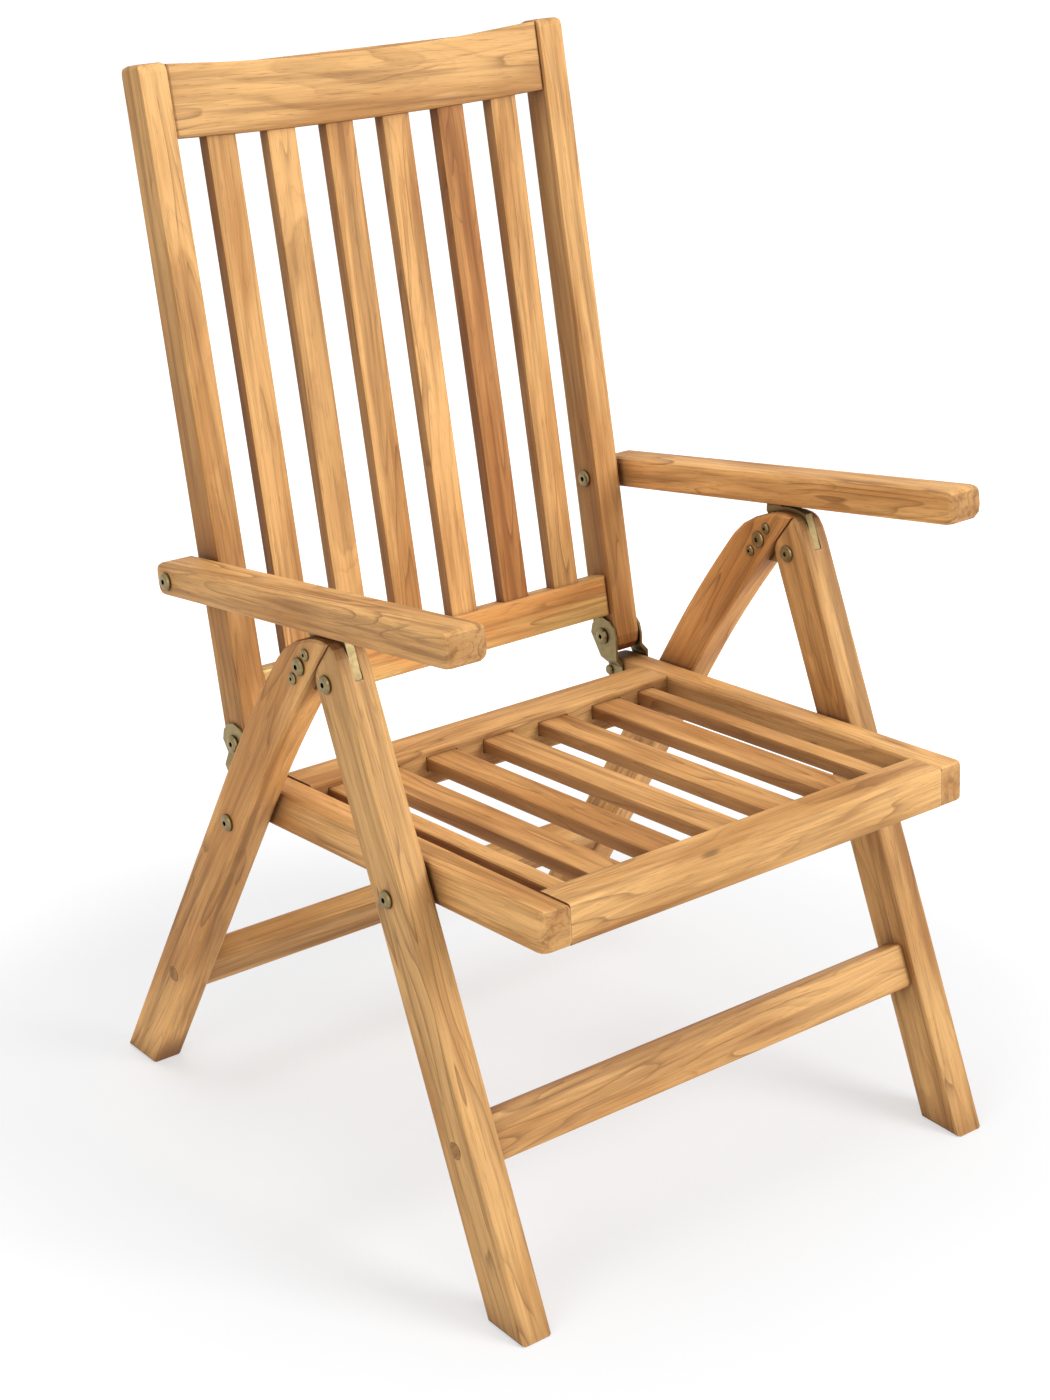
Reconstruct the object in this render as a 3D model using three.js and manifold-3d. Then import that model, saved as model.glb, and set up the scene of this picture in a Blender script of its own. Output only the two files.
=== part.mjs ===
import * as THREE from 'three';
import { mergeVertices } from 'three/addons/utils/BufferGeometryUtils.js';
import Module from 'manifold-3d';

const wasm = await Module();
wasm.setup();

// Folding reclining armchair in teak. Lengths are millimetres. X runs across the chair, Y from its
// front to its rear, Z up. The side view is drawn about the leg hinge, and the finished chair is
// then set with the middle of its floor box on the origin.

// Clearances and cutting
const gap = 0.3;
const hingeClearance = 0.35;
const overrun = 6;
const weldDistance = 0.00006;

// Angles in degrees
const frontLegLean = 24.5;
const rearLegLean = 36;
const seatFall = 4.29;
const backLean = 12.13;
const armRise = 9.1;
const notchLean = 19;
const rearLegTurn = 6.3;
const armSplay = 2.1;

// Legs
const chairWidth = 604;
const legThickness = 35;
const frontLegWidth = 48;
const rearLegWidth = 47;
const hingeHeight = 555.5;
const hingeSetback = 19.5;
const legEdge = 4;
const crownRadius = 64.9;
const crownAhead = -5.6;
const crownDrop = 24.8;
const crownEnd = 34;
const crownFrontFillet = 25;
const crownRearFillet = 26;
const rearLegStraight = 60;
const rearLegBendRadius = 1440;

// Leg hinge plate
const plateThickness = 8.5;
const plateProud = 4;
const plateFlush = 1;
const plateHubRadius = 15;
const plateEndRadius = 11.5;
const plateRearEdge = 51;
const plateRearTop = 2;
const toothBehindHinge = 24;
const toothLength = 22;
const toothCrest = 3;
const toothHeel = 9;
const slotFloorFront = 4;
const slotFloorRear = 36;

// Stretchers
const stretcherHeight = 45;
const stretcherThickness = 28;
const stretcherEdge = 4;
const frontStretcherDown = 438;
const rearStretcherHeight = 132;
const rearStretcherForward = 5;
const tenonLength = 12;
const tenonShoulder = 6;

// Seat
const seatPivotDown = 201;
const seatTopAbovePivot = 28.5;
const seatFrontReach = 176;
const seatLength = 506;
const seatSideGap = 4;
const railThickness = 32;
const railHeight = 40;
const railEdge = 4;
const seatCorner = 11;
const frontRailWidth = 44;
const rearRailWidth = 49;
const rearRailGap = 22.7;
const seatSlatWidth = 39;
const seatEdgeSlatWidth = 22;
const seatEdgeSlatGap = 25;
const seatSideSlatGap = 20;
const seatSlatCount = 7;
const seatSlatThickness = 15;
const seatSlatRecess = 8;
const slatEdge = 3;
const slatTenon = 10;

// Rest pins and the notches that sit on them
const restPinHeight = 352;
const restPinRadius = 5.5;
const restPinReach = 22;
const restPinForward = 3;
const restPinEdge = 1;

// Back
const backPivotFromSeatRear = 12.3;
const backPivotAboveSeat = 26.9;
const stileInset = 8;
const stileThickness = 32;
const stileFootDepth = 42;
const stileTopDepth = 36;
const stileLength = 660;
const stileEdge = 4;
const stileTopFillet = 9;
const topRailDown = 72;
const topRailHeight = 70;
const topRailTopDip = 9;
const topRailFootDip = 5;
const backRailDepth = 24;
const backRailForward = 2;
const bottomRailFoot = 24;
const bottomRailHeight = 44;
const backSlatCount = 6;
const backSlatWidth = 34;
const backSlatThickness = 16;
const darkSlat = 5;

// Back hinge straps
const strapThickness = 2.7;
const strapWidth = 42;
const strapFoot = 34;
const strapBendHeight = 9;
const outerBendFoot = 2.5;
const innerBendFoot = -7;

// Arms
const armAboveHinge = 44.3;
const armWidth = 42;
const armProud = 1;
const armRearDepth = 33;
const armFrontDepth = 35;
const armRearReach = 22;
const armFrontReach = 487;
const armEdge = 6;
const armNose = 15;
const armBrow = 9;
const armTail = 11;

// Racks under the arms
const rackStart = 222;
const rackLength = 132;
const rackWidth = 9;
const rackHeight = 12;
const rackNotchCount = 5;
const rackNotchPitch = 19;
const rackFirstNotch = 249;
const rackNotchLength = 10;
const rackNotchDepth = 5;

// Fasteners
const shankRadius = 4;
const headRadius = 8.7;
const headHeight = 4.2;
const lowHeadHeight = 2.7;
const headDomeShare = 0.55;
const domeShoulderShare = 0.35;
const domeShoulderRadiusShare = 0.86;
const domeTopRadiusShare = 0.6;
const smallHeadRadius = 5.6;
const smallHeadHeight = 2.6;
const socketWidth = 5;
const smallSocketWidth = 3.4;
const socketDepth = 2.6;
const smallSocketDepth = 1.6;
const washerRadius = 11;
const hubFastenerLine = 37;
const upperRivetDown = 4;
const plateBoltDown = 22;
const lowerRivetDown = 41;
const strapBoltDown = 14;
const strapHeadHeight = 0.9;
const plugRadius = 8.2;
const plugDepth = 14;
const plugProud = 0.4;

// Rendering of curves
const roundSides = 16;
const filletSteps = 3;
const bevelSteps = 2;

// Derived places
const legOuter = chairWidth / 2;
const legInner = legOuter - legThickness;
const legMiddle = legOuter - legThickness / 2;
const seatOuter = legInner - seatSideGap;
const railInner = seatOuter - railThickness;
const stileOuter = seatOuter - stileInset;
const stileInner = stileOuter - stileThickness;
const armOuter = legOuter + armProud;
const armInner = armOuter - armWidth;
const backPivotBehindSeatPivot = seatLength - seatFrontReach - backPivotFromSeatRear;
const rearRailEnd = backPivotBehindSeatPivot - strapWidth / 2 - rearRailGap;
const rearRailStart = rearRailEnd - rearRailWidth;
const armMiddle = armOuter - armWidth / 2;
const splaySlope = Math.tan(THREE.MathUtils.degToRad(armSplay));
const frontLegFront = hingeSetback - frontLegWidth;
const frontLegMiddle = hingeSetback - frontLegWidth / 2;
const rearLegFront = hingeSetback + hingeClearance;
const rearLegMiddle = rearLegFront + rearLegWidth / 2;
const rearLegRear = rearLegFront + rearLegWidth;
const sides = { left: -1, right: 1 };

// Plane geometry, in the side view seen from the chair's left: y to the rear, z up

function radians(degrees) {
  return THREE.MathUtils.degToRad(degrees);
}

function turned(point, degrees) {
  const angle = radians(degrees);
  const y = point.y * Math.cos(angle) - point.z * Math.sin(angle);
  const z = point.y * Math.sin(angle) + point.z * Math.cos(angle);
  return { y, z };
}

function added(first, second) {
  return { y: first.y + second.y, z: first.z + second.z };
}

function subtracted(first, second) {
  return { y: first.y - second.y, z: first.z - second.z };
}

function shifted(start, direction, distance) {
  return { y: start.y + direction.y * distance, z: start.z + direction.z * distance };
}

// Where a ray from a point meets the far side of a circle
function rayToCircle(start, direction, centre, radius) {
  const offset = subtracted(start, centre);
  const along = offset.y * direction.y + offset.z * direction.z;
  const away = offset.y * offset.y + offset.z * offset.z - radius * radius;
  const reach = Math.sqrt(along * along - away) - along;
  return shifted(start, direction, reach);
}

function pointAt(angle) {
  return { y: Math.cos(angle), z: Math.sin(angle) };
}

function angleAbout(centre, point) {
  return Math.atan2(point.z - centre.z, point.y - centre.y);
}

// Main pivots, from the leg hinge, in the side view of the open chair
const hinge = { y: 0, z: hingeHeight };
const seatPivot = added(hinge, turned({ y: frontLegMiddle, z: -seatPivotDown }, -frontLegLean));
const backPivotOnSeat = { y: backPivotBehindSeatPivot, z: seatTopAbovePivot + backPivotAboveSeat };
const backPivot = added(seatPivot, turned(backPivotOnSeat, -seatFall));

// The arm pivot sits where the arm's underside passes over the hinge plate's tooth at its named height
const armFall = Math.tan(radians(armRise));
const armHalfDepth = armRearDepth / 2 / Math.cos(radians(armRise));
const backPivotFromTooth = { y: backPivot.y - hinge.y - toothBehindHinge, z: backPivot.z - hinge.z };
const armPivotRise = armAboveHinge + armHalfDepth - backPivotFromTooth.z - backPivotFromTooth.y * armFall;
const armPivotUp = armPivotRise / (Math.cos(radians(backLean)) + Math.sin(radians(backLean)) * armFall);
const armPivot = added(backPivot, turned({ y: 0, z: armPivotUp }, -backLean));

// The rear leg is straight beside the hinge, bends about one centre, then runs straight to the floor
const bendCentre = { y: rearLegFront - rearLegBendRadius, z: -rearLegStraight };
const bendOut = turned({ y: 1, z: 0 }, -rearLegTurn);
const legDown = turned({ y: 0, z: -1 }, -rearLegTurn);

// A point on the rear leg's lower run, by its place across the leg and its height over the floor
function rearLegPoint(across, height) {
  const start = shifted(bendCentre, bendOut, rearLegBendRadius + across - rearLegFront);
  const startHeight = added(hinge, turned(start, rearLegLean)).z;
  const fall = turned(legDown, rearLegLean).z;
  return shifted(start, legDown, (height - startHeight) / fall);
}

const restPinOnLeg = rearLegPoint(rearLegMiddle - restPinForward, restPinHeight);
const restPin = added(hinge, turned(restPinOnLeg, rearLegLean));
const restPinOnSeat = turned(subtracted(restPin, seatPivot), seatFall);

// Solids

function solidFrom(geometry) {
  const plain = new THREE.BufferGeometry();
  plain.setAttribute('position', geometry.getAttribute('position').clone());
  if (geometry.index) plain.setIndex(geometry.index.clone());
  const welded = mergeVertices(plain, weldDistance);
  const vertProperties = new Float32Array(welded.getAttribute('position').array);
  const triVerts = new Uint32Array(welded.index.array);
  return new wasm.Manifold(new wasm.Mesh({ numProp: 3, vertProperties, triVerts }));
}

function geometryFrom(solid) {
  const mesh = solid.getMesh();
  const geometry = new THREE.BufferGeometry();
  geometry.setAttribute('position', new THREE.BufferAttribute(mesh.vertProperties, 3));
  geometry.setIndex(new THREE.BufferAttribute(mesh.triVerts, 1));
  return geometry;
}

function cut(geometry, tools) {
  let solid = solidFrom(geometry);
  for (const tool of tools) solid = solid.subtract(solidFrom(tool));
  return geometryFrom(solid);
}

// An outline in the side view, extruded across the chair, with its middle at x = middle
const sideways = new THREE.Matrix4().makeBasis(
  new THREE.Vector3(0, 1, 0),
  new THREE.Vector3(0, 0, 1),
  new THREE.Vector3(1, 0, 0)
);

function extruded(shape, thickness, edge) {
  const bevelled = edge > 0;
  const geometry = new THREE.ExtrudeGeometry(shape, {
    depth: thickness - 2 * edge,
    bevelEnabled: bevelled,
    bevelThickness: edge,
    bevelSize: edge,
    bevelOffset: -edge,
    bevelSegments: bevelSteps,
    curveSegments: filletSteps
  });
  geometry.translate(0, 0, edge - thickness / 2);
  return geometry;
}

function acrossPiece(shape, thickness, edge, middle) {
  const geometry = extruded(shape, thickness, edge);
  geometry.applyMatrix4(sideways);
  geometry.translate(middle, 0, 0);
  return geometry;
}

// An outline in the plan, extruded up from a foot
function uprightPiece(shape, height, edge, foot) {
  const geometry = extruded(shape, height, edge);
  geometry.translate(0, 0, foot + height / 2);
  return geometry;
}

// A closed outline through corners, each with its own fillet
function filletedShape(corners) {
  const shape = new THREE.Shape();
  corners.forEach((corner, i) => {
    const before = corners[(i + corners.length - 1) % corners.length];
    const after = corners[(i + 1) % corners.length];
    const fillet = corner.fillet ?? 0;
    const enter = pointTowards(corner, before, fillet);
    const leave = pointTowards(corner, after, fillet);
    if (i === 0) shape.moveTo(enter.y, enter.z);
    else shape.lineTo(enter.y, enter.z);
    if (fillet > 0) shape.quadraticCurveTo(corner.y, corner.z, leave.y, leave.z);
  });
  shape.closePath();
  return shape;
}

function pointTowards(from, to, distance) {
  const span = Math.hypot(to.y - from.y, to.z - from.z);
  const share = distance / span;
  return { y: from.y + (to.y - from.y) * share, z: from.z + (to.z - from.z) * share };
}

function rectangle(low, high, fillet) {
  return filletedShape([
    { y: low.y, z: low.z, fillet },
    { y: high.y, z: low.z, fillet },
    { y: high.y, z: high.z, fillet },
    { y: low.y, z: high.z, fillet }
  ]);
}

function block(low, high) {
  const geometry = new THREE.BoxGeometry(high.x - low.x, high.y - low.y, high.z - low.z);
  geometry.translate((low.x + high.x) / 2, (low.y + high.y) / 2, (low.z + high.z) / 2);
  return geometry;
}

// A round bar or hole along X
function roundBar(radius, from, to, centre) {
  const geometry = new THREE.CylinderGeometry(radius, radius, Math.abs(to - from), roundSides);
  geometry.rotateZ(Math.PI / 2);
  geometry.translate((from + to) / 2, centre.y, centre.z);
  return geometry;
}

function boltHole(centre, radius = shankRadius + gap) {
  return roundBar(radius, -legOuter - overrun, legOuter + overrun, centre);
}

// The half of a cross hole that belongs to one side of the chair
function sideHole(side, centre, radius, inner, outer) {
  return roundBar(radius, side * inner, side * outer, centre);
}

// Materials

const teakTones = {
  frontLeg: 0xc08d52,
  rearLeg: 0xb27c45,
  rail: 0xc89458,
  slat: 0xbe8a50,
  back: 0xc6935a,
  darkSlat: 0xa8713f,
  arm: 0xb9834a
};

function teak(tone) {
  return new THREE.MeshStandardMaterial({ color: tone, roughness: 0.62, metalness: 0 });
}

function brass() {
  return new THREE.MeshStandardMaterial({ color: 0x8f8256, roughness: 0.38, metalness: 0.9 });
}

function piece(name, geometry, material) {
  const mesh = new THREE.Mesh(geometry, material);
  mesh.name = name;
  return mesh;
}

function frameAt(place, degrees, meshes) {
  const group = new THREE.Group();
  group.position.set(0, place.y, place.z);
  group.rotation.x = radians(degrees);
  for (const mesh of meshes) group.add(mesh);
  return group;
}

// Fasteners: turned about X, between two faces, with a domed head at each end

function headProfile(radius, height) {
  const dome = height * headDomeShare;
  return [
    { along: 0, out: radius },
    { along: height - dome, out: radius },
    { along: height - dome * domeShoulderShare, out: radius * domeShoulderRadiusShare },
    { along: height, out: radius * domeTopRadiusShare },
    { along: height, out: 0 }
  ];
}

function fastener(side, inner, outer, centre, options) {
  const { innerRadius, innerHeight, outerRadius, outerHeight, shank = shankRadius, collar } = options;
  const points = [];
  for (const { along, out } of headProfile(innerRadius, innerHeight).reverse()) {
    points.push(new THREE.Vector2(out, inner - gap - along));
  }
  points.push(new THREE.Vector2(shank, inner - gap));
  if (collar) {
    points.push(new THREE.Vector2(shank, collar.from));
    points.push(new THREE.Vector2(collar.radius, collar.from));
    points.push(new THREE.Vector2(collar.radius, collar.to));
    points.push(new THREE.Vector2(shank, collar.to));
  }
  points.push(new THREE.Vector2(shank, outer + gap));
  for (const { along, out } of headProfile(outerRadius, outerHeight)) {
    points.push(new THREE.Vector2(out, outer + gap + along));
  }
  const geometry = new THREE.LatheGeometry(points, roundSides);
  geometry.rotateZ(-Math.PI / 2);
  const sockets = [];
  if (options.outerSocket) {
    const face = outer + gap + outerHeight;
    sockets.push(hexSocket(face - options.outerSocket.depth, face + overrun, options.outerSocket.width));
  }
  if (options.innerSocket) {
    const face = inner - gap - innerHeight;
    sockets.push(hexSocket(face - overrun, face + options.innerSocket.depth, options.innerSocket.width));
  }
  const turnedSolid = cut(geometry, sockets);
  if (side < 0) turnedSolid.rotateY(Math.PI);
  turnedSolid.translate(0, centre.y, centre.z);
  return turnedSolid;
}

function hexSocket(from, to, width) {
  const geometry = new THREE.CylinderGeometry(width / Math.sqrt(3), width / Math.sqrt(3), to - from, 6);
  geometry.rotateZ(Math.PI / 2);
  geometry.translate((from + to) / 2, 0, 0);
  return geometry;
}

const bigSocket = { width: socketWidth, depth: socketDepth };
const smallSocket = { width: smallSocketWidth, depth: smallSocketDepth };
const shallowSocket = { width: socketWidth, depth: smallSocketDepth };
const domedHeads = {
  innerRadius: headRadius,
  innerHeight: headHeight,
  outerRadius: headRadius,
  outerHeight: headHeight,
  innerSocket: bigSocket,
  outerSocket: bigSocket
};

// Towards the seat the legs' heads are low, so that the rails pass them as the chair folds
const legHeads = { ...domedHeads, innerHeight: lowHeadHeight, innerSocket: shallowSocket };

// Crown shared by both legs, from the leg hinge
const crownFromHinge = { y: -crownAhead, z: -crownDrop };

function onFrontLeg(point) {
  return turned(point, frontLegLean);
}

function onRearLeg(point) {
  return turned(point, -rearLegLean);
}

const hingeTurn = frontLegLean + rearLegLean;
const buttNormal = { y: Math.cos(radians(hingeTurn)), z: Math.sin(radians(hingeTurn)) };

// Front leg: square foot on the floor, crown cut to the rear leg, corner rounded about the hinge

function frontLegFloor(across) {
  const drop = across * Math.sin(radians(frontLegLean)) - hingeHeight;
  return { y: across, z: drop / Math.cos(radians(frontLegLean)) };
}

function frontLegShape() {
  const centre = onFrontLeg(crownFromHinge);
  const buttFoot = { y: buttNormal.y * hingeSetback, z: buttNormal.z * hingeSetback };
  const buttTop = rayToCircle(buttFoot, { y: -buttNormal.z, z: buttNormal.y }, centre, crownRadius);
  const crownSlope = (buttTop.y - centre.y) / (buttTop.z - centre.z);
  const brow = { y: frontLegFront, z: buttTop.z - (frontLegFront - buttTop.y) * crownSlope };
  const footFront = frontLegFloor(frontLegFront);
  const footRear = frontLegFloor(hingeSetback);
  const shape = new THREE.Shape();
  shape.moveTo(footFront.y, footFront.z);
  shape.lineTo(footRear.y, footRear.z);
  shape.lineTo(hingeSetback, 0);
  shape.absarc(0, 0, hingeSetback, 0, radians(hingeTurn), false);
  shape.lineTo(buttTop.y, buttTop.z);
  shape.quadraticCurveTo(brow.y, brow.z, frontLegFront, brow.z - crownFrontFillet);
  shape.closePath();
  return shape;
}

// The kerf that the hinge plate swings in, open at the crown, the front and the rear
function hingeSlot() {
  const slope = (slotFloorRear - slotFloorFront) / frontLegWidth;
  const front = { y: frontLegFront - overrun, z: -slotFloorFront + overrun * slope };
  const rear = { y: hingeSetback + overrun, z: -slotFloorRear - overrun * slope };
  const top = crownRadius + overrun;
  const shape = new THREE.Shape();
  shape.moveTo(front.y, front.z);
  shape.lineTo(rear.y, rear.z);
  shape.lineTo(rear.y, top);
  shape.lineTo(front.y, top);
  shape.closePath();
  return shape;
}

const frontStretcherPlace = { y: frontLegMiddle, z: -frontStretcherDown };
const seatPivotOnLeg = { y: frontLegMiddle, z: -seatPivotDown };

function tenonLow(place, grow) {
  const half = { y: stretcherThickness / 2 - tenonShoulder, z: stretcherHeight / 2 - tenonShoulder };
  return { y: place.y - half.y - grow, z: place.z - half.z - grow };
}

function tenonHigh(place, grow) {
  const half = { y: stretcherThickness / 2 - tenonShoulder, z: stretcherHeight / 2 - tenonShoulder };
  return { y: place.y + half.y + grow, z: place.z + half.z + grow };
}

function stretcherMortise(side, place) {
  const low = tenonLow(place, gap);
  const high = tenonHigh(place, gap);
  const depth = legInner + tenonLength + gap;
  const near = Math.min(side * (legInner - overrun), side * depth);
  const far = Math.max(side * (legInner - overrun), side * depth);
  return block({ x: near, ...low }, { x: far, ...high });
}

function plugHole(side, place) {
  return sideHole(side, place, plugRadius + gap, legOuter - plugDepth - gap, legOuter + overrun);
}

function frontLeg(name, side) {
  const leg = acrossPiece(frontLegShape(), legThickness, legEdge, side * legMiddle);
  const slot = acrossPiece(hingeSlot(), plateThickness + 2 * gap, 0, side * legMiddle);
  const tools = [
    slot,
    boltHole({ y: 0, z: 0 }),
    boltHole(seatPivotOnLeg),
    stretcherMortise(side, frontStretcherPlace),
    plugHole(side, frontStretcherPlace)
  ];
  return piece(`front_leg_${name}`, cut(leg, tools), teak(teakTones.frontLeg));
}

// A bar between the legs, with a shouldered tenon at each end
function stretcher(name, place, degrees, tone) {
  const half = { y: stretcherThickness / 2, z: stretcherHeight / 2 };
  const bodyLength = 2 * (legInner - gap);
  const body = acrossPiece(
    rectangle(subtracted(place, half), added(place, half), stretcherEdge),
    bodyLength,
    0,
    0
  );
  const reach = legInner + tenonLength;
  const tenon = block({ x: -reach, ...tenonLow(place, 0) }, { x: reach, ...tenonHigh(place, 0) });
  const whole = solidFrom(body).add(solidFrom(tenon));
  const mesh = piece(name, geometryFrom(whole), teak(tone));
  mesh.rotation.x = radians(degrees);
  return mesh;
}

function plug(name, side, place, tone) {
  const outer = legOuter + plugProud;
  const geometry = roundBar(plugRadius, side * (legOuter - plugDepth), side * outer, place);
  return piece(name, cut(geometry, []), teak(tone));
}

// Rear leg: straight beside the hinge, bent forward in an arc, then straight down to the floor

const rearStretcherPlace = rearLegPoint(rearLegMiddle - rearStretcherForward, rearStretcherHeight);

function rearLegShape() {
  const centre = onRearLeg(crownFromHinge);
  const buttFoot = { y: rearLegFront, z: 0 };
  const buttTop = rayToCircle(buttFoot, { y: 0, z: 1 }, centre, crownRadius);
  const startAngle = radians(crownEnd);
  const halfAngle = (angleAbout(centre, buttTop) - startAngle) / 2;
  const crownStart = shifted(centre, pointAt(startAngle), crownRadius);
  const crownPeak = shifted(centre, pointAt(startAngle + halfAngle), crownRadius / Math.cos(halfAngle));
  const tangentReach = (rearLegRear - crownStart.y) / Math.sin(startAngle);
  const shoulder = { y: rearLegRear, z: crownStart.z - tangentReach * Math.cos(startAngle) };
  const footFront = rearLegPoint(rearLegFront, 0);
  const footRear = rearLegPoint(rearLegRear, 0);
  const bendEnd = -radians(rearLegTurn);
  const shape = new THREE.Shape();
  shape.moveTo(footFront.y, footFront.z);
  shape.lineTo(footRear.y, footRear.z);
  shape.absarc(bendCentre.y, bendCentre.z, rearLegBendRadius + rearLegWidth, bendEnd, 0, false);
  shape.lineTo(rearLegRear, shoulder.z - crownRearFillet);
  shape.quadraticCurveTo(shoulder.y, shoulder.z, crownStart.y, crownStart.z);
  shape.quadraticCurveTo(crownPeak.y, crownPeak.z, buttTop.y, buttTop.z);
  shape.absarc(bendCentre.y, bendCentre.z, rearLegBendRadius, 0, bendEnd, true);
  shape.closePath();
  return shape;
}

const upperRivet = { y: hubFastenerLine, z: -upperRivetDown };
const plateBolt = { y: hubFastenerLine, z: -plateBoltDown };
const lowerRivet = { y: hubFastenerLine, z: -lowerRivetDown };

// Where the arm's underside runs above the leg tops, from the hinge
function armUnderside(y) {
  const fromPivot = y - (armPivot.y - hinge.y);
  return armPivot.z - hinge.z - armHalfDepth - fromPivot * armFall;
}

// Hinge plate: fixed in the rear leg's kerf, round hub on the hinge bolt, tooth under the arm's rack
function hingePlateShape(grow) {
  const crown = onRearLeg(crownFromHinge);
  const radius = crownRadius + plateProud + grow;
  const frontEdge = frontLegFront + plateFlush - grow;
  const slope = (slotFloorRear - slotFloorFront) / frontLegWidth;
  const toRear = (point) => onRearLeg(turned(point, -frontLegLean));
  const frontFoot = toRear({ y: frontEdge, z: -slotFloorFront + plateFlush - grow - slope * plateFlush });
  const crownOnFront = onFrontLeg(crownFromHinge);
  const browRise = Math.sqrt(radius ** 2 - (frontEdge - crownOnFront.y) ** 2);
  const frontTop = toRear({ y: frontEdge, z: crownOnFront.z + browRise });
  const toothRear = toothBehindHinge + toothLength;
  const crest = (y) => onRearLeg({ y, z: armUnderside(y) - hingeClearance });
  const rise = Math.sqrt(radius ** 2 - (toothBehindHinge - crownFromHinge.y) ** 2);
  const toothFoot = onRearLeg({ y: toothBehindHinge - grow, z: crownFromHinge.z + rise });
  const crestFront = crest(toothBehindHinge - grow);
  const crestRear = crest(toothRear + grow);
  const heel = onRearLeg({ y: toothRear + grow, z: armUnderside(toothRear) - toothHeel });
  const hub = plateHubRadius + grow;
  const end = plateEndRadius + grow;
  const lowerTurn = angleAbout({ y: 0, z: 0 }, lowerRivet);
  const spread = Math.asin((hub - end) / Math.hypot(lowerRivet.y, lowerRivet.z));
  const tangent = lowerTurn - Math.PI / 2 + spread;
  const shape = new THREE.Shape();
  const footReach = Math.hypot(frontFoot.y, frontFoot.z);
  const hubStart = angleAbout({ y: 0, z: 0 }, frontFoot) + Math.acos(hub / footReach);
  shape.moveTo(plateRearEdge + grow, lowerRivet.z + end);
  shape.lineTo(plateRearEdge + grow, -plateRearTop);
  shape.lineTo(heel.y, heel.z);
  const rearCorner = pointTowards(crestRear, crestFront, toothCrest);
  const frontCorner = pointTowards(crestFront, crestRear, toothCrest);
  const rearFlank = pointTowards(crestRear, heel, toothCrest);
  const frontFlank = pointTowards(crestFront, toothFoot, toothCrest);
  shape.lineTo(rearFlank.y, rearFlank.z);
  shape.quadraticCurveTo(crestRear.y, crestRear.z, rearCorner.y, rearCorner.z);
  shape.lineTo(frontCorner.y, frontCorner.z);
  shape.quadraticCurveTo(crestFront.y, crestFront.z, frontFlank.y, frontFlank.z);
  shape.lineTo(toothFoot.y, toothFoot.z);
  shape.absarc(crown.y, crown.z, radius, angleAbout(crown, toothFoot), angleAbout(crown, frontTop), false);
  shape.lineTo(frontFoot.y, frontFoot.z);
  shape.absarc(0, 0, hub, hubStart, tangent + 2 * Math.PI, false);
  shape.absarc(lowerRivet.y, lowerRivet.z, end, tangent, 0, false);
  shape.closePath();
  return shape;
}

function hingePlate(name, side) {
  const plate = acrossPiece(hingePlateShape(0), plateThickness, 0, side * legMiddle);
  const holes = [{ y: 0, z: 0 }, upperRivet, plateBolt, lowerRivet];
  const cutPlate = cut(plate, holes.map((place) => boltHole(place)));
  return piece(`hinge_plate_${name}`, cutPlate, brass());
}

function rearLeg(name, side) {
  const leg = acrossPiece(rearLegShape(), legThickness, legEdge, side * legMiddle);
  const kerf = acrossPiece(hingePlateShape(gap), plateThickness + 2 * gap, 0, side * legMiddle);
  const tools = [
    kerf,
    boltHole(upperRivet),
    boltHole(plateBolt),
    boltHole(lowerRivet),
    boltHole(restPinOnLeg),
    turnedTool(stretcherMortise(side, { y: 0, z: 0 }), rearStretcherPlace),
    plugHole(side, rearStretcherPlace)
  ];
  return piece(`rear_leg_${name}`, cut(leg, tools), teak(teakTones.rearLeg));
}

// The rear stretcher lies along the leg where it stands, so its mortise turns with the bend
function turnedTool(geometry, place) {
  geometry.rotateX(-radians(rearLegTurn));
  geometry.translate(0, place.y, place.z);
  return geometry;
}

function rivet(name, side, place, outerRadius, outerHeight) {
  const solid = fastener(side, legInner, legOuter, place, {
    innerRadius: smallHeadRadius,
    innerHeight: smallHeadHeight,
    outerRadius,
    outerHeight,
    innerSocket: smallSocket,
    outerSocket: smallSocket
  });
  return piece(name, solid, brass());
}

// Rest pin: a stout sleeve that the seat's notch sits on, held through the rear leg
function restPinPiece(name, side) {
  const sleeve = legInner - restPinReach;
  const points = [
    new THREE.Vector2(0, sleeve),
    new THREE.Vector2(restPinRadius - restPinEdge, sleeve),
    new THREE.Vector2(restPinRadius, sleeve + restPinEdge),
    new THREE.Vector2(restPinRadius, legInner - gap),
    new THREE.Vector2(shankRadius, legInner - gap),
    new THREE.Vector2(shankRadius, legOuter + gap)
  ];
  for (const { along, out } of headProfile(headRadius, headHeight)) {
    points.push(new THREE.Vector2(out, legOuter + gap + along));
  }
  const geometry = new THREE.LatheGeometry(points, roundSides);
  geometry.rotateZ(-Math.PI / 2);
  const face = legOuter + gap + headHeight;
  const solid = cut(geometry, [hexSocket(face - socketDepth, face + overrun, socketWidth)]);
  if (side < 0) solid.rotateY(Math.PI);
  solid.translate(0, restPinOnLeg.y, restPinOnLeg.z);
  return piece(`rest_pin_${name}`, solid, brass());
}

// Seat, from the seat pivot along the seat's own fall

const seatTop = seatTopAbovePivot;
const seatFoot = seatTop - railHeight;
const seatFront = -seatFrontReach;
const seatRear = seatFront + seatLength;
const frontRailRear = seatFront + frontRailWidth;
const seatSlatTop = seatTop - seatSlatRecess;
const seatSlatFoot = seatSlatTop - seatSlatThickness;
const strapHoles = [
  backPivotOnSeat,
  { y: backPivotOnSeat.y, z: seatTop - strapBoltDown }
];

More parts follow.
